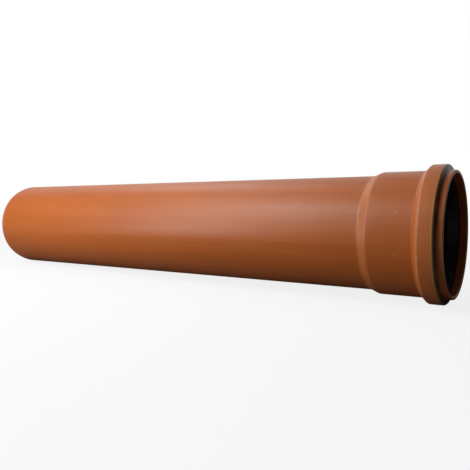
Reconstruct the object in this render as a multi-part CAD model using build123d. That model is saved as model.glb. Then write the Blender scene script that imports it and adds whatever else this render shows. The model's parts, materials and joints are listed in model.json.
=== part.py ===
from build123d import *
import math
import os

# Single socket drain pipe: a plastic barrel with a formed socket on one end,
# a bevelled spigot on the other, and a rubber seal in the socket's bead.
# Sizes are millimetres. Depths are measured from the open mouth of the socket.

# Barrel
barrel_diameter = 110.0
barrel_wall = 3.2
barrel_length = 527.0

# Spigot bevel at the plain end
bevel_length = 6.5
bevel_angle = 15.0

# Socket: the widened end that the next pipe's spigot slides into
socket_clearance = 0.3
socket_wall = 3.1
socket_depth = 65.0
shoulder_length = 8.0
mouth_edge_radius = 1.2

# Bead: the raised ring round the socket, with the seal's groove inside it
bead_front_depth = 5.6
bead_front_slope = 2.8
bead_crown_width = 11.4
bead_back_slope = 5.2
bead_height = 5.4

# Soft corners that the forming mandrel leaves
bead_foot_radius = 1.2
bead_crown_radius = 2.4
socket_corner_radius = 5.0
barrel_corner_radius = 9.0

# Rubber seal, with its lips pressed back as they are round a spigot
seal_seat_clearance = 0.1
seal_bore_clearance = 0.1
seal_side_gap = 1.5
seal_edge_radius = 1.5

# Turn about the axis, in degrees. It keeps the seams of the round faces off the
# floor, midway between two of the planes that cut the collision hulls.
seam_turn = 22.5

# Radii and depths worked out from the sizes above
barrel_radius = barrel_diameter / 2
bore_radius = barrel_radius - barrel_wall
socket_bore_radius = barrel_radius + socket_clearance
socket_radius = socket_bore_radius + socket_wall
bead_radius = socket_radius + bead_height
groove_radius = socket_bore_radius + bead_height
bevel_drop = bevel_length * math.tan(math.radians(bevel_angle))

crown_start = bead_front_depth + bead_front_slope
crown_end = crown_start + bead_crown_width
bead_end = crown_end + bead_back_slope
shoulder_end = socket_depth + shoulder_length
overall_length = shoulder_end + barrel_length


def inner_shift(rise, run, wall):
    """How far a sloping wall's inner line lies behind its outer line, along the axis."""
    slope_angle = math.atan2(rise, run)
    return wall * math.tan(slope_angle / 2)


front_shift = inner_shift(bead_height, bead_front_slope, socket_wall)
back_shift = inner_shift(bead_height, bead_back_slope, socket_wall)
shoulder_drop = socket_radius - barrel_radius
shoulder_shift = inner_shift(shoulder_drop, shoulder_length, barrel_wall)

groove_mouth = bead_front_depth + front_shift
groove_start = crown_start + front_shift
groove_end = crown_end - back_shift
groove_foot = bead_end - back_shift
bore_start = shoulder_end - shoulder_shift
socket_bore_end = socket_depth - shoulder_shift


def at(radius, depth):
    """A point of the section: radius from the axis, depth from the mouth."""
    return (radius, overall_length - depth)


def turned(outline):
    """A solid of revolution about Z from a closed outline in the XZ plane."""
    section = make_face(Plane.XZ * outline)
    return revolve(section, Axis.Z)


def pipe():
    """Barrel and socket, one piece: the section's outside, then its inside."""
    mouth_radius = (socket_radius + socket_bore_radius) / 2
    outside = [
        at(mouth_radius, 0),
        at(socket_radius, 0),
        at(socket_radius, bead_front_depth),
        at(bead_radius, crown_start),
        at(bead_radius, crown_end),
        at(socket_radius, bead_end),
        at(socket_radius, socket_depth),
        at(barrel_radius, shoulder_end),
        at(barrel_radius, overall_length - bevel_length),
    ]
    outside_corners = [
        mouth_edge_radius,
        bead_foot_radius,
        bead_crown_radius,
        bead_crown_radius,
        bead_foot_radius,
        socket_corner_radius,
        barrel_corner_radius,
    ]
    inside = [
        at(bore_radius, overall_length),
        at(bore_radius, bore_start),
        at(socket_bore_radius, socket_bore_end),
        at(socket_bore_radius, groove_foot),
        at(groove_radius, groove_end),
        at(groove_radius, groove_start),
        at(socket_bore_radius, groove_mouth),
        at(socket_bore_radius, 0),
        at(mouth_radius, 0),
    ]
    inside_corners = [
        barrel_corner_radius,
        socket_corner_radius,
        bead_foot_radius,
        bead_crown_radius,
        bead_crown_radius,
        bead_foot_radius,
        mouth_edge_radius,
    ]
    bevel = Polyline(
        at(barrel_radius, overall_length - bevel_length),
        at(barrel_radius - bevel_drop, overall_length),
        at(bore_radius, overall_length),
    )
    outer_line = FilletPolyline(*outside, radius=outside_corners)
    inner_line = FilletPolyline(*inside, radius=inside_corners)
    return turned(outer_line + bevel + inner_line)


def seal_ring():
    """Rubber ring that fills the groove and ends flush with the socket's bore."""
    inner_radius = socket_bore_radius + seal_bore_clearance
    outer_radius = groove_radius - seal_seat_clearance
    outline = FilletPolyline(
        at(inner_radius, groove_mouth + seal_side_gap),
        at(outer_radius, groove_start + seal_side_gap),
        at(outer_radius, groove_end - seal_side_gap),
        at(inner_radius, groove_foot - seal_side_gap),
        radius=seal_edge_radius,
        close=True,
    )
    return turned(outline)


def resting_tilt():
    """Angle, in degrees, at which the bead and the spigot's end both touch the floor."""
    contact_run = overall_length - bevel_length - crown_end
    return math.degrees(math.atan2(bead_radius - barrel_radius, contact_run))


def resting_place(solid):
    """Turn the mouth from +Z to +X, let the plain end sink, and centre it on the floor."""
    lying = Rot(0, 90 - resting_tilt(), 0) * Rot(0, 0, seam_turn)
    box = (lying * solid).bounding_box()
    return Pos(-(box.min.X + box.max.X) / 2, 0, -box.min.Z) * lying


os.makedirs("parts", exist_ok=True)
nodes = {"pipe": pipe(), "seal_ring": seal_ring()}
place = resting_place(nodes["pipe"])
for name, solid in nodes.items():
    lying_solid = place * solid
    export_step(lying_solid, f"parts/{name}.step")
    box = lying_solid.bounding_box()
    print(name, round(lying_solid.volume), box.min, box.max, lying_solid.is_valid)
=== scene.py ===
import json
import math

import bpy
import numpy as np
from mathutils import Matrix, Vector


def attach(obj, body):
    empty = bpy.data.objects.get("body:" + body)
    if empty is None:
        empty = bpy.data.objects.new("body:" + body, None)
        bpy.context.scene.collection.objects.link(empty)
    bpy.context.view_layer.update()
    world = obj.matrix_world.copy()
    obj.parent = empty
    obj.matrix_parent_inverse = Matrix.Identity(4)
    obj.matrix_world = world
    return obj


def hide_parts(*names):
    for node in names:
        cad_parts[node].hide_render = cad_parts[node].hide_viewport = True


# Single socket drain pipe: the plastic pipe, the rubber seal in its bead, and a plain studio.
# Depths are measured along the pipe from the open mouth, radii from the pipe's axis.

bl_info = {
    "name": "Single socket drain pipe",
    "version": (1, 0, 0),
    "blender": (4, 5, 0),
    "location": "3D View > Sidebar > Drain pipe",
    "description": "Makes a plastic drain pipe with a socket and a rubber seal, and a plain studio round it",
    "category": "Add Mesh",
}

MM = 0.001
BODY = "root"
# How far the drawn pipe is pulled in, at its ends and where it is as wide as the barrel or wider. The fixed
# model's round faces are cut into flats, so its box is a little smaller than the true circles.
SKIN = 0.06 * MM

# Roundings of the pipe's corners
MOUTH_ROUND = 1.2 * MM
BEAD_FOOT_ROUND = 1.2 * MM
CROWN_FRONT_ROUND = 1.5 * MM
CROWN_ROUND = 2.4 * MM
SOCKET_ROUND = 5.0 * MM
BARREL_ROUND = 9.0 * MM
BEVEL_ROUND = 0.6 * MM
SAWN_ROUND = 0.15 * MM

# How fine the meshes are: faces round the pipe, points on a rounded corner, and the longest face along it
AROUND = 256
PIPE_CORNER_POINTS = 9
PIPE_LONGEST = 11 * MM
SEAL_CORNER_POINTS = 7
SEAL_LONGEST = 2 * MM

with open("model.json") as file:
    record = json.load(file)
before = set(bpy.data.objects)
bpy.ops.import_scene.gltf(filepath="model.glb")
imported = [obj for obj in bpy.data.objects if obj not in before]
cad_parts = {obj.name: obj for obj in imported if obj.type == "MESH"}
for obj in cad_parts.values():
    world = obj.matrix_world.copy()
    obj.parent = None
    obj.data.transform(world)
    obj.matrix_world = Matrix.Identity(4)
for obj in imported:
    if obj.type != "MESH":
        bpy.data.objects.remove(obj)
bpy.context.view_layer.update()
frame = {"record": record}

mounts = {mount["name"]: mount for mount in frame["record"]["mounts"]}
pipe_axis = Vector(mounts["socket"]["axis"]).normalized()
axis_point = Vector(mounts["socket"]["pos_m"])


def on_axis(mount):
    """The point of the pipe's axis beside a mount."""
    return axis_point + pipe_axis * (Vector(mounts[mount]["pos_m"]) - axis_point).dot(pipe_axis)


mouth_centre = on_axis("mouth_face")
side_way = Vector((0, 1, 0))
down_way = (-pipe_axis).cross(side_way)


def length(name, description, millimetres):
    """A length in metres that the user may change, given in millimetres."""
    return bpy.props.FloatProperty(name=name, description=description, default=millimetres * MM,
                                   unit="LENGTH", precision=5)


def colour(name, description, value):
    """A colour that the user may change, in linear light."""
    return bpy.props.FloatVectorProperty(name=name, description=description, default=value,
                                         size=3, subtype="COLOR", min=0, max=1)


class DrainPipeSizes(bpy.types.PropertyGroup):
    """The pipe's sizes. The fixed model gives the main ones."""
    overall_length: length("Overall length", "From the mouth to the plain end",
                           (mouth_centre - on_axis("plain_end_face")).length / MM)
    barrel_radius: length("Barrel radius", "Outside of the barrel", mounts["spigot"]["dims"]["r_mm"])
    bore_radius: length("Bore radius", "Inside of the barrel", mounts["waterway"]["dims"]["r_mm"])
    socket_bore_radius: length("Socket bore radius", "Inside of the socket",
                               mounts["socket"]["dims"]["r_mm"])
    socket_wall: length("Socket wall", "Thickness of the socket and the bead", 3.1)
    socket_depth: length("Socket depth", "From the mouth to where the shoulder starts", 65.0)
    shoulder_length: length("Shoulder length", "Slope from the socket down to the barrel", 8.0)
    bevel_length: length("Bevel length", "Slope at the plain end, along the pipe", 6.5)
    bevel_drop: length("Bevel drop", "How far the bevel goes in", 1.742)
    bead_front_depth: length("Bead front depth", "Width of the lip in front of the bead", 5.6)
    bead_front_slope: length("Bead front slope", "Length of the bead's front slope", 1.6)
    bead_crown_width: length("Bead crown width", "Width of the bead's flat top", 12.6)
    bead_back_slope: length("Bead back slope", "Length of the bead's back slope", 5.2)
    bead_height: length("Bead height", "Height of the bead over the socket", 5.4)

    @property
    def socket_radius(self):
        """Outside of the socket."""
        return self.socket_bore_radius + self.socket_wall

    @property
    def bead_radius(self):
        """Outside of the bead."""
        return self.socket_radius + self.bead_height

    @property
    def crown_start(self):
        """Depth at which the bead's flat top starts."""
        return self.bead_front_depth + self.bead_front_slope

    @property
    def crown_end(self):
        """Depth at which the bead's flat top ends."""
        return self.crown_start + self.bead_crown_width

    @property
    def bead_end(self):
        """Depth at which the bead's back slope ends."""
        return self.crown_end + self.bead_back_slope

    @property
    def shoulder_end(self):
        """Depth at which the shoulder meets the barrel."""
        return self.socket_depth + self.shoulder_length


class DrainPipeColours(bpy.types.PropertyGroup):
    """Colours of the plastic, the rubber and the floor."""
    plastic: colour("Plastic", "The pipe's own orange-brown", (0.42, 0.101, 0.013))
    # Also laid on the bead's back slope, the shoulder and the mouth's edge as painted highlight
    plastic_pale: colour("Scuffed plastic", "Plastic where it is scuffed pale", (0.58, 0.25, 0.11))
    # Painted reflection: a pale olive line on the bead's front corner, standing for the light that the corner
    # catches
    corner_reflection: colour("Khaki line", "Line on the bead's front corner", (0.42, 0.27, 0.075))
    # Painted shade: a near-black brown laid into the crease in front of the bead, where the bead shades the
    # lip
    crease_shade: colour("Crease shade", "Painted shade in the crease in front of the bead", (0.035, 0.014, 0.006))
    nick: colour("Nicks", "Small nicks in the plastic", (0.75, 0.55, 0.42))
    dust: colour("Dust", "Dust on the plastic", (0.80, 0.66, 0.55))
    rubber: colour("Rubber", "The seal's own black", (0.006, 0.007, 0.006))
    rubber_bloom: colour("Rubber bloom", "Grey bloom on the rubber", (0.030, 0.034, 0.030))
    rubber_dust: colour("Rubber dust", "Dust on the rubber", (0.12, 0.115, 0.10))
    floor: colour("Floor", "The floor under the pipe", (0.80, 0.80, 0.80))


class DrainPipeStudio(bpy.types.PropertyGroup):
    """Where the camera stands, and how bright the lamps and the room are."""
    camera_place: bpy.props.FloatVectorProperty(
        name="Camera place", description="Where the camera stands", subtype="TRANSLATION", size=3,
        default=(0.39119, -0.50479, 0.10272))
    camera_heading: bpy.props.FloatProperty(
        name="Camera heading", description="Turn of the camera to the left of straight ahead",
        subtype="ANGLE", default=math.radians(33.0634))
    camera_dip: bpy.props.FloatProperty(
        name="Camera dip", description="How far the camera looks down", subtype="ANGLE",
        default=math.radians(4.6562))
    camera_lens: bpy.props.FloatProperty(
        name="Lens", description="Focal length for a frame 36 mm wide", default=40.5475)
    lamp_level: bpy.props.FloatProperty(
        name="Lamp level", description="How bright all the lamps are together", default=1.0, min=0)
    room_light: bpy.props.FloatProperty(
        name="Room light", description="How bright the room round the studio is", default=0.04, min=0, max=1)


# Surfaces


def rounded_loop(corners, radii, steps):
    """Closed line with round corners. At each corner the arc's centre lies on the line that halves the
    corner, rounding / cos(half turn) from it, and the arc runs from minus to plus half the turn.
    corners is n rows of depth and radius, radii the n roundings, steps the points on each arc."""
    before = corners - np.roll(corners, 1, axis=0)
    after = np.roll(corners, -1, axis=0) - corners
    before /= np.linalg.norm(before, axis=1, keepdims=True)
    after /= np.linalg.norm(after, axis=1, keepdims=True)
    inward = after - before
    inward /= np.linalg.norm(inward, axis=1, keepdims=True)
    forward = after + before
    forward /= np.linalg.norm(forward, axis=1, keepdims=True)
    half_turn = np.arccos(np.clip((before * after).sum(axis=1), -1, 1)) / 2
    centre = corners + inward * (radii / np.cos(half_turn))[:, None]
    angle = half_turn[:, None] * np.linspace(-1, 1, steps)
    arc = forward[:, None, :] * np.sin(angle)[..., None] - inward[:, None, :] * np.cos(angle)[..., None]
    return (centre[:, None, :] + arc * radii[:, None, None]).reshape(-1, 2)


def divided(loop, longest):
    """The same closed line with points added so that no run is longer than longest: a point is the run's
    start plus a share of the run."""
    run = np.roll(loop, -1, axis=0) - loop
    parts = np.maximum(1, np.ceil(np.linalg.norm(run, axis=1) / longest)).astype(int)
    first = np.repeat(np.arange(len(loop)), parts)
    step = np.arange(parts.sum()) - np.repeat(np.cumsum(parts) - parts, parts)
    return loop[first] + run[first] * (step / parts[first])[:, None]


def turned_piece(name, loop):
    """A closed section carried round the pipe's axis: a point is the mouth's centre, less the axis times
    its depth, plus its radius times (side * cos(turn) + down * sin(turn))."""
    turn = np.linspace(0, 2 * np.pi, AROUND, endpoint=False)
    outwards = np.cos(turn)[:, None] * np.array(side_way) + np.sin(turn)[:, None] * np.array(down_way)
    along = np.array(mouth_centre) - loop[:, :1] * np.array(pipe_axis)
    points = along[None, :, :] + outwards[:, None, :] * loop[None, :, 1:]
    rows, columns = np.meshgrid(np.arange(AROUND), np.arange(len(loop)), indexing="ij")
    next_row, next_column = (rows + 1) % AROUND, (columns + 1) % len(loop)
    corners = [(rows, columns), (next_row, columns), (next_row, next_column), (rows, next_column)]
    faces = np.stack([row * len(loop) + column for row, column in corners], axis=-1).reshape(-1, 4)
    mesh = bpy.data.meshes.new(name)
    mesh.vertices.add(points.size // 3)
    mesh.vertices.foreach_set("co", points.ravel())
    mesh.loops.add(faces.size)
    mesh.loops.foreach_set("vertex_index", faces.ravel())
    mesh.polygons.add(len(faces))
    mesh.polygons.foreach_set("loop_start", np.arange(0, faces.size, 4))
    mesh.polygons.foreach_set("use_smooth", np.ones(len(faces), bool))
    mesh.update(calc_edges=True)
    mesh.validate()
    piece = bpy.data.objects.new(name, mesh)
    bpy.context.scene.collection.objects.link(piece)
    return piece


def inner_shift(rise, run, wall):
    """How far a sloping wall's inner line lies from its outer line, along the pipe: the wall times the
    tangent of half the slope's angle."""
    return wall * math.tan(math.atan2(rise, run) / 2)


def pipe_section(sizes):
    """The pipe wall's section: its outside from the mouth to the plain end, then its inside back again.
    Each row is depth, radius and the corner's rounding."""
    barrel_wall = sizes.barrel_radius - sizes.bore_radius
    groove_radius = sizes.socket_bore_radius + sizes.bead_height
    end = sizes.overall_length
    front = inner_shift(sizes.bead_height, sizes.bead_front_slope, sizes.socket_wall)
    back = inner_shift(sizes.bead_height, sizes.bead_back_slope, sizes.socket_wall)
    shoulder = inner_shift(sizes.socket_radius - sizes.barrel_radius, sizes.shoulder_length, barrel_wall)
    rows = np.array([
        (0.0, sizes.socket_radius, MOUTH_ROUND),
        (sizes.bead_front_depth, sizes.socket_radius, BEAD_FOOT_ROUND),
        (sizes.crown_start, sizes.bead_radius, CROWN_FRONT_ROUND),
        (sizes.crown_end, sizes.bead_radius, CROWN_ROUND),
        (sizes.bead_end, sizes.socket_radius, BEAD_FOOT_ROUND),
        (sizes.socket_depth, sizes.socket_radius, SOCKET_ROUND),
        (sizes.shoulder_end, sizes.barrel_radius, BARREL_ROUND),
        (end - sizes.bevel_length, sizes.barrel_radius, BEVEL_ROUND),
        (end, sizes.barrel_radius - sizes.bevel_drop, SAWN_ROUND),
        (end, sizes.bore_radius, SAWN_ROUND),
        (sizes.shoulder_end - shoulder, sizes.bore_radius, BARREL_ROUND),
        (sizes.socket_depth - shoulder, sizes.socket_bore_radius, SOCKET_ROUND),
        (sizes.bead_end - back, sizes.socket_bore_radius, BEAD_FOOT_ROUND),
        (sizes.crown_end - back, groove_radius, CROWN_ROUND),
        (sizes.crown_start + front, groove_radius, CROWN_ROUND),
        (sizes.bead_front_depth + front, sizes.socket_bore_radius, BEAD_FOOT_ROUND),
        (0.0, sizes.socket_bore_radius, MOUTH_ROUND),
    ])
    rows[rows[:, 1] > sizes.barrel_radius - SKIN, 1] -= SKIN
    rows[:, 0] = np.clip(rows[:, 0], SKIN, end - SKIN)
    return rows[:, :2], rows[:, 2]


def seal_section(sizes):
    """The seal's section: a foot in the groove, and a lip that slopes in and back from the front edge.
    Each row is depth, height over the socket's bore and the corner's rounding, in millimetres."""
    foot_top = [(11.7, 5.20, 1.30), (17.3, 5.20, 1.60)]
    foot_back = [(21.8, 1.20, 0.60), (22.2, 0.25, 0.35), (21.1, 0.20, 0.45)]
    hollow = [(16.8, 2.30, 0.80), (14.8, 0.75, 0.60)]
    lip_tip = [(20.2, -1.45, 0.40), (19.2, -2.35, 0.60)]
    lip_inside = [(13.0, -0.95, 1.20)]
    front_edge = [(10.0, -0.30, 0.50), (9.10, 0.40, 0.40)]
    rows = np.array(foot_top + foot_back + hollow + lip_tip + lip_inside + front_edge) * MM
    section = rows[:, :2] + np.array([0.0, sizes.socket_bore_radius])
    return section, rows[:, 2]


# Materials


class Wire:
    """A socket of a material. Plus, minus and times on it add Math nodes."""

    def __init__(self, finish, socket):
        self.finish = finish
        self.socket = socket

    def maths(self, operation, *values):
        """One Math node on these values."""
        made = self.finish.node("ShaderNodeMath", {"operation": operation}, dict(enumerate(values)))
        return Wire(self.finish, made.outputs[0])

    def __add__(self, other):
        return self.maths("ADD", self, other)

    def __radd__(self, other):
        return self.maths("ADD", other, self)

    def __sub__(self, other):
        return self.maths("SUBTRACT", self, other)

    def __rsub__(self, other):
        return self.maths("SUBTRACT", other, self)

    def __mul__(self, other):
        return self.maths("MULTIPLY", self, other)

    def __rmul__(self, other):
        return self.maths("MULTIPLY", other, self)


class Finish:
    """A material written as expressions on its sockets."""

    def __init__(self, owner):
        """owner is a name for a new material, or a world."""
        self.owner = bpy.data.materials.new(owner) if isinstance(owner, str) else owner
        self.owner.use_nodes = True
        self.tree = self.owner.node_tree
        self.tree.nodes.clear()
        kind = "ShaderNodeOutputMaterial" if isinstance(owner, str) else "ShaderNodeOutputWorld"
        self.output = self.node(kind)

    def node(self, kind, settings=None, values=None):
        """One node: its settings first, then the values or links of its sockets."""
        made = self.tree.nodes.new(kind)
        for name, value in (settings or {}).items():
            setattr(made, name, value)
        for name, value in (values or {}).items():
            if isinstance(value, Wire):
                self.tree.links.new(value.socket, made.inputs[name])
            else:
                made.inputs[name].default_value = value
        return made

    def wire(self, kind, settings=None, values=None, output=0):
        """One output of a new node."""
        return Wire(self, self.node(kind, settings, values).outputs[output])

    def along_pipe(self):
        """Place on the pipe: x is the depth from the mouth, y and z lie across the pipe."""
        turn = Matrix((-pipe_axis, side_way, down_way))
        place = self.wire("ShaderNodeTexCoord", output="Object")
        return self.wire("ShaderNodeMapping", {"vector_type": "POINT"}, {
            "Vector": place,
            "Rotation": turn.to_euler("XYZ"),
            "Location": -(turn @ mouth_centre),
        })

    def vectors(self, operation, first, second=None, output=0):
        """One Vector Math node on a vector, or on two."""
        values = {0: first} if second is None else {0: first, 1: second}
        return self.wire("ShaderNodeVectorMath", {"operation": operation}, values, output)

    def stretched(self, place, along, across):
        """A place times one number along the pipe, which is its x, and another across it."""
        return self.vectors("MULTIPLY", place, (along, across, across))

    def noise(self, place, along, across, detail=2.0, roughness=0.5):
        """Soft noise about 0.5, with so many lumps in a metre along the pipe and across it."""
        return self.wire("ShaderNodeTexNoise", {"noise_dimensions": "3D"}, {
            "Vector": self.stretched(place, along, across),
            "Scale": 1.0,
            "Detail": detail,
            "Roughness": roughness,
        })

    def step(self, value, low, high):
        """0 below low and 1 above high, with a smooth rise between. With low above high it falls."""
        return self.wire("ShaderNodeMapRange", {"interpolation_type": "SMOOTHSTEP"},
                         {"Value": value, "From Min": low, "From Max": high})

    def band(self, value, low, high, soft):
        """1 between low and high, with soft edges."""
        return self.step(value, low - soft, low + soft) * self.step(value, high + soft, high - soft)

    def mix(self, amount, first, second):
        """First colour where amount is 0, second where it is 1."""
        return self.wire("ShaderNodeMix", {"data_type": "RGBA"}, {0: amount, 6: first, 7: second}, output=2)

    def shaded(self, base, amount, pattern, dark, light):
        """The base colour times dark where the pattern is 0 and times light where it is 1, by amount."""
        shade = self.mix(pattern, (*dark, 1.0), (*light, 1.0))
        return self.wire("ShaderNodeMix", {"data_type": "RGBA", "blend_type": "MULTIPLY"},
                         {0: amount, 6: base, 7: shade}, output=2)

    def specks(self, place, along, across, size, rarity):
        """Small spots, in so many cells in a metre along the pipe and across it: the cell's centre is nearer
        than size, and the cell's own random number is over rarity."""
        cell = self.node("ShaderNodeTexVoronoi", {"feature": "F1"}, {
            "Vector": self.stretched(place, along, across), "Scale": 1.0, "Randomness": 1.0,
        })
        near = self.step(Wire(self, cell.outputs["Distance"]), size, size * 0.5)
        chosen = self.wire("ShaderNodeSeparateColor", {}, {0: Wire(self, cell.outputs["Color"])})
        return near * self.step(chosen, rarity, rarity + 0.02)

    def bump(self, height, distance):
        """A normal from a height."""
        return self.wire("ShaderNodeBump", {}, {"Height": height, "Distance": distance})

    def seen(self, mirrored_where):
        """1 for rays from the camera, and for mirrored or bent rays where mirrored_where is 1."""
        path = self.node("ShaderNodeLightPath")
        mirrored = Wire(self, path.outputs["Is Glossy Ray"]) + Wire(self, path.outputs["Is Transmission Ray"])
        return Wire(self, path.outputs["Is Camera Ray"]) + mirrored * mirrored_where

    def surface(self, shader):
        """Puts a shader on the output and gives the material or world."""
        self.tree.links.new(shader.socket, self.output.inputs["Surface"])
        return self.owner


def rgba(colour_value):
    """A colour's three numbers, then 1 for its alpha."""
    return (*colour_value, 1.0)


def plastic_finish(sizes, colours):
    """Satin extruded plastic: lengthwise draw lines, cloudy tone, scuffs and specks, paler edges that are
    partly wear and partly painted highlight, a painted reflection line on the bead's front corner, and
    painted shade in the crease at the bead's front."""
    finish = Finish("pipe_plastic")
    place = finish.along_pipe()
    depth = finish.wire("ShaderNodeSeparateXYZ", {}, {0: place})
    radius = finish.vectors("LENGTH", finish.stretched(place, 0.0, 1.0), output="Value")

    clouds = finish.noise(place, 9, 26, detail=3.0)
    draw_lines = finish.noise(place, 1.2, 420, detail=3.0, roughness=0.6)
    streaks = finish.noise(place, 2.2, 190, detail=4.0, roughness=0.65)
    fine_lines = finish.noise(place, 6, 2200, detail=1.0)
    grain = finish.noise(place, 1500, 1500)
    scuffs = finish.step(finish.noise(place, 60, 140, detail=5.0, roughness=0.7), 0.66, 0.80)
    nicks = finish.specks(place, 50, 200, size=0.10, rarity=0.93)
    dust = finish.specks(place, 330, 330, size=0.14, rarity=0.975)

    # Paler edges, partly wear and partly painted highlight: the bead's top is scuffed, the mouth's edge is
    # partly sawn pale and partly a painted highlight, and the bead's back slope and the shoulder carry
    # painted highlights standing for light from the plain end's side
    on_bead = finish.step(radius, sizes.bead_radius - 0.5 * MM, sizes.bead_radius)
    over_socket = finish.step(radius, sizes.socket_radius + MM, sizes.bead_radius)
    lip_edge = finish.step(depth, 1.6 * MM, 0.5 * MM)
    back_slope = over_socket * finish.band(
        depth, sizes.crown_end - 0.2 * MM, sizes.bead_end - 1.8 * MM, 1.2 * MM)
    shoulder = finish.band(depth, sizes.socket_depth, sizes.shoulder_end, 3 * MM)
    wear_and_highlight = on_bead * 0.30 + lip_edge + back_slope * 0.9 + shoulder * 0.35
    wear_and_highlight = wear_and_highlight * finish.step(grain, 0.30, 0.55)

    # Painted reflection: a pale olive line along the bead's front corner, standing for the light that the
    # corner catches
    front_corner = finish.band(depth, sizes.crown_start - 0.3 * MM, sizes.crown_start + 1.3 * MM, 0.35 * MM)
    corner_reflection = front_corner * finish.step(radius, sizes.socket_radius, sizes.socket_radius + MM)
    outside = finish.step(radius, sizes.socket_bore_radius + 2.0 * MM, sizes.socket_bore_radius + 2.4 * MM)
    # Painted shade: the crease in front of the bead is darkened in patches in the colour, standing for the
    # shade there
    crease = finish.band(
        depth, sizes.bead_front_depth - 0.5 * MM, sizes.bead_front_depth + 1.3 * MM, 0.7 * MM)
    patchy = finish.step(finish.noise(place, 300, 90, detail=3.0), 0.15, 0.55)
    crease_shade = crease * outside * patchy

    base = finish.shaded(rgba(colours.plastic), 1.0, clouds, (0.88, 0.86, 0.84), (1.10, 1.12, 1.14))
    base = finish.shaded(base, 0.6, draw_lines, (0.90, 0.90, 0.90), (1.10, 1.10, 1.10))
    base = finish.shaded(base, 0.8, streaks, (0.88, 0.88, 0.88), (1.12, 1.12, 1.12))
    base = finish.mix(scuffs * 0.18, base, rgba(colours.plastic_pale))
    # Paler edges: wear on the bead's top, painted highlights on the bead's back slope, the shoulder and the
    # mouth's edge
    base = finish.mix(wear_and_highlight * 0.6, base, rgba(colours.plastic_pale))
    base = finish.mix(corner_reflection * 0.8, base, rgba(colours.corner_reflection))
    # Lays the painted shade into the crease in front of the bead
    base = finish.mix(crease_shade * 0.85, base, rgba(colours.crease_shade))
    base = finish.mix(nicks * 0.55, base, rgba(colours.nick))
    base = finish.mix(dust * 0.45, base, rgba(colours.dust))

    rough = (0.40 + (draw_lines - 0.5) * 0.18 + (streaks - 0.5) * 0.35 + (clouds - 0.5) * 0.10
             + scuffs * 0.14 + wear_and_highlight * 0.12)
    height = streaks + draw_lines * 0.6 + fine_lines * 0.15 + grain * 0.1 - nicks * 0.6
    shader = finish.wire("ShaderNodeBsdfPrincipled", {}, {
        "Base Color": base,
        "Roughness": rough,
        "IOR": 1.5,
        "Specular IOR Level": 0.4,
        "Normal": finish.bump(height, 0.16 * MM),
    })
    return finish.surface(shader)


def rubber_finish(colours):
    """Black moulded rubber: fine rings from the mould, a grey bloom and a little dust."""
    finish = Finish("seal_rubber")
    place = finish.along_pipe()
    bloom = finish.noise(place, 90, 60, detail=4.0)
    rings = finish.noise(place, 1400, 30)
    dust = finish.specks(place, 420, 420, size=0.16, rarity=0.80)
    base = finish.mix(finish.step(bloom, 0.45, 0.75) * 0.5, rgba(colours.rubber), rgba(colours.rubber_bloom))
    base = finish.mix(dust * 0.4, base, rgba(colours.rubber_dust))
    shader = finish.wire("ShaderNodeBsdfPrincipled", {}, {
        "Base Color": base,
        "Roughness": 0.46 + (bloom - 0.5) * 0.2,
        "IOR": 1.5,
        "Specular IOR Level": 0.3,
        "Normal": finish.bump(rings, 0.05 * MM),
    })
    return finish.surface(shader)


# Distances over the floor from the pipe's middle, in metres. Mirrored rays begin to see the pale floor at the
# first and see all of it at the second, and the shadow that the camera sees fades between the other two.
MIRROR_START, MIRROR_FULL = 0.2, 1.2
FADE_START, FADE_FULL = 0.30, 1.1
# Distances along the pipe count for less, so that these rings are longer that way, as the pipe is
ALONG_SHARE = 0.75
# How much of the seen floor is plain white near the pipe. The rest shows its shadow.
WHITE_NEAR = 0.84
# Brightness of the floor for the light that it throws back
DULL_FLOOR = 0.22


def floor_finish(colours):
    """Pale floor: nearly white where it is seen or mirrored, with the pipe's shadow kept near the pipe, and
    duller for the light it throws back."""
    finish = Finish("studio_floor")
    place = finish.wire("ShaderNodeTexCoord", output="Object")
    distance = finish.vectors("LENGTH", finish.stretched(place, ALONG_SHARE, 1.0), output="Value")
    lit = finish.wire("ShaderNodeBsdfDiffuse", {}, {"Color": rgba(colours.floor)})
    dull = finish.wire("ShaderNodeBsdfDiffuse", {}, {"Color": rgba([DULL_FLOOR] * 3)})
    white = finish.wire("ShaderNodeEmission", {}, {"Color": (1, 1, 1, 1), "Strength": 1.0})
    whiteness = WHITE_NEAR + (1 - WHITE_NEAR) * finish.step(distance, FADE_START, FADE_FULL)
    shown = finish.wire("ShaderNodeMixShader", {}, {0: whiteness, 1: lit, 2: white})
    seen = finish.seen(finish.step(distance, MIRROR_START, MIRROR_FULL))
    return finish.surface(finish.wire("ShaderNodeMixShader", {}, {0: seen, 1: dull, 2: shown}))


# Studio


# Half the floor's width, in metres
FLOOR_HALF = 20.0
# A mirrored ray begins to see the white world when the cosine of its angle from straight ahead of the camera
# is the first number, and sees all of it at the second
BEHIND_START, BEHIND_FULL = 0.2, 0.9

# Each lamp: name, heading from +X and rise over the floor in degrees, distance in metres from the middle of
# the pipe, width and height in metres, power in watts.
LAMPS = (
    ("key_lamp", -125, 30, 1.1, (0.5, 0.5), 4.5),
    ("upper_lamp", -125, 55, 0.7, (0.3, 0.3), 1.3),
    ("top_lamp", -210, 75, 1.1, (0.5, 0.5), 1.0),
    ("back_lamp", -210, 52, 1.1, (0.5, 0.5), 1.2),
    ("left_lamp", -150, 52, 1.1, (0.5, 0.5), 0.9),
    ("low_lamp", -120, 3, 0.6, (0.2, 0.2), 1.15),
    ("socket_lamp", -100, 50, 0.7, (0.3, 0.3), 0.9),
    ("front_lamp", -105, 20, 0.8, (0.3, 0.3), 0.5),
    ("mouth_lamp", 15, 45, 1.1, (0.5, 0.5), 0.25),
)
PIPE_MIDDLE = Vector((0.0, 0.0, 0.06))


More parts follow.
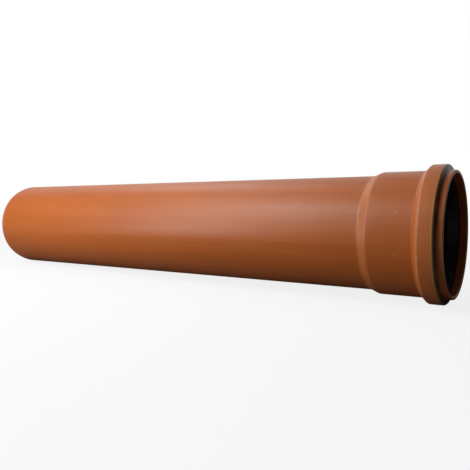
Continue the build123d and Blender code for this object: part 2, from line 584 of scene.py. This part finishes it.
def soft_lamp(name, heading, rise, distance, size, power):
    """A soft rectangular lamp that faces the middle of the pipe."""
    heading, rise = math.radians(heading), math.radians(rise)
    way = Vector((math.cos(heading) * math.cos(rise), math.sin(heading) * math.cos(rise), math.sin(rise)))
    lamp = bpy.data.lights.new(name, "AREA")
    lamp.shape = "RECTANGLE"
    lamp.size, lamp.size_y = size
    lamp.energy = power
    holder = bpy.data.objects.new(name, lamp)
    holder.location = PIPE_MIDDLE + way * distance
    holder.rotation_euler = (-way).to_track_quat("-Z", "Y").to_euler()
    bpy.context.scene.collection.objects.link(holder)


def studio_world(studio):
    """World that is white where it is seen, and where it is mirrored from behind the pipe. In front it is the
    dim room, and its own light is the room's."""
    world = bpy.data.worlds.new("studio_world")
    finish = Finish(world)
    way = finish.wire("ShaderNodeTexCoord", output="Object")
    ahead = Vector((-math.sin(studio.camera_heading), math.cos(studio.camera_heading), 0.0))
    behind = finish.vectors("DOT_PRODUCT", way, ahead, output="Value")
    seen = finish.seen(finish.step(behind, BEHIND_START, BEHIND_FULL))
    strength = studio.room_light + seen * (1.0 - studio.room_light)
    finish.surface(finish.wire("ShaderNodeBackground", {}, {"Color": (1, 1, 1, 1), "Strength": strength}))
    bpy.context.scene.world = world


# Operators


class DRAINPIPE_OT_pipe(bpy.types.Operator):
    """Make the plastic pipe: barrel, shoulder, socket with its bead, and bevelled plain end"""
    bl_idname = "drainpipe.pipe"
    bl_label = "Make pipe"

    def execute(self, context):
        sizes = context.scene.drain_pipe_sizes
        corners, radii = pipe_section(sizes)
        loop = divided(rounded_loop(corners, radii, PIPE_CORNER_POINTS), PIPE_LONGEST)
        piece = turned_piece("drain_pipe", loop)
        piece.data.materials.append(plastic_finish(sizes, context.scene.drain_pipe_colours))
        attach(piece, BODY)
        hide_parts("pipe")
        return {"FINISHED"}


class DRAINPIPE_OT_seal(bpy.types.Operator):
    """Make the rubber seal with its free lip, in the bead's groove"""
    bl_idname = "drainpipe.seal"
    bl_label = "Make seal"

    def execute(self, context):
        corners, radii = seal_section(context.scene.drain_pipe_sizes)
        loop = divided(rounded_loop(corners, radii, SEAL_CORNER_POINTS), SEAL_LONGEST)
        piece = turned_piece("socket_seal", loop)
        piece.data.materials.append(rubber_finish(context.scene.drain_pipe_colours))
        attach(piece, BODY)
        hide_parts("seal_ring")
        return {"FINISHED"}


class DRAINPIPE_OT_stage(bpy.types.Operator):
    """Make the floor, the lamps, the world and the camera"""
    bl_idname = "drainpipe.stage"
    bl_label = "Make studio"

    def execute(self, context):
        scene = context.scene
        studio = scene.drain_pipe_studio
        mesh = bpy.data.meshes.new("studio_floor")
        corners = np.array([(-1, -1, 0), (1, -1, 0), (1, 1, 0), (-1, 1, 0)]) * FLOOR_HALF
        mesh.from_pydata(corners, [], [(0, 1, 2, 3)])
        floor = bpy.data.objects.new("studio_floor", mesh)
        scene.collection.objects.link(floor)
        mesh.materials.append(floor_finish(scene.drain_pipe_colours))
        studio_world(studio)
        for name, heading, rise, distance, size, power in LAMPS:
            soft_lamp(name, heading, rise, distance, size, power * studio.lamp_level)

        camera = bpy.data.cameras.new("camera")
        camera.sensor_width = 36.0
        camera.lens = studio.camera_lens
        camera.clip_start = 0.01
        camera.clip_end = 100.0
        holder = bpy.data.objects.new("camera", camera)
        holder.location = studio.camera_place
        holder.rotation_euler = (math.radians(90) - studio.camera_dip, 0.0, studio.camera_heading)
        scene.collection.objects.link(holder)
        scene.camera = holder
        scene.view_settings.view_transform = "Standard"
        return {"FINISHED"}


class DRAINPIPE_PT_panel(bpy.types.Panel):
    """Buttons and values for the drain pipe"""
    bl_label = "Drain pipe"
    bl_idname = "DRAINPIPE_PT_panel"
    bl_space_type = "VIEW_3D"
    bl_region_type = "UI"
    bl_category = "Drain pipe"

    def draw(self, context):
        for operator in OPERATORS:
            self.layout.operator(operator.bl_idname)
        for group in (context.scene.drain_pipe_sizes, context.scene.drain_pipe_colours,
                      context.scene.drain_pipe_studio):
            box = self.layout.box()
            for name in group.__annotations__:
                box.prop(group, name)


GROUPS = {
    "drain_pipe_sizes": DrainPipeSizes,
    "drain_pipe_colours": DrainPipeColours,
    "drain_pipe_studio": DrainPipeStudio,
}
OPERATORS = (DRAINPIPE_OT_pipe, DRAINPIPE_OT_seal, DRAINPIPE_OT_stage)


def register():
    """Makes the groups, the operators and the panel known."""
    for group in GROUPS.values():
        bpy.utils.register_class(group)
    for name, group in GROUPS.items():
        setattr(bpy.types.Scene, name, bpy.props.PointerProperty(type=group))
    for operator in OPERATORS:
        bpy.utils.register_class(operator)
    bpy.utils.register_class(DRAINPIPE_PT_panel)


def unregister():
    """Takes back what register does, last first."""
    bpy.utils.unregister_class(DRAINPIPE_PT_panel)
    for operator in reversed(OPERATORS):
        bpy.utils.unregister_class(operator)
    for name, group in GROUPS.items():
        delattr(bpy.types.Scene, name)
        bpy.utils.unregister_class(group)


def main():
    """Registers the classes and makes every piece."""
    register()
    bpy.ops.drainpipe.pipe()
    bpy.ops.drainpipe.seal()
    bpy.ops.drainpipe.stage()


if __name__ == "__main__":
    main()
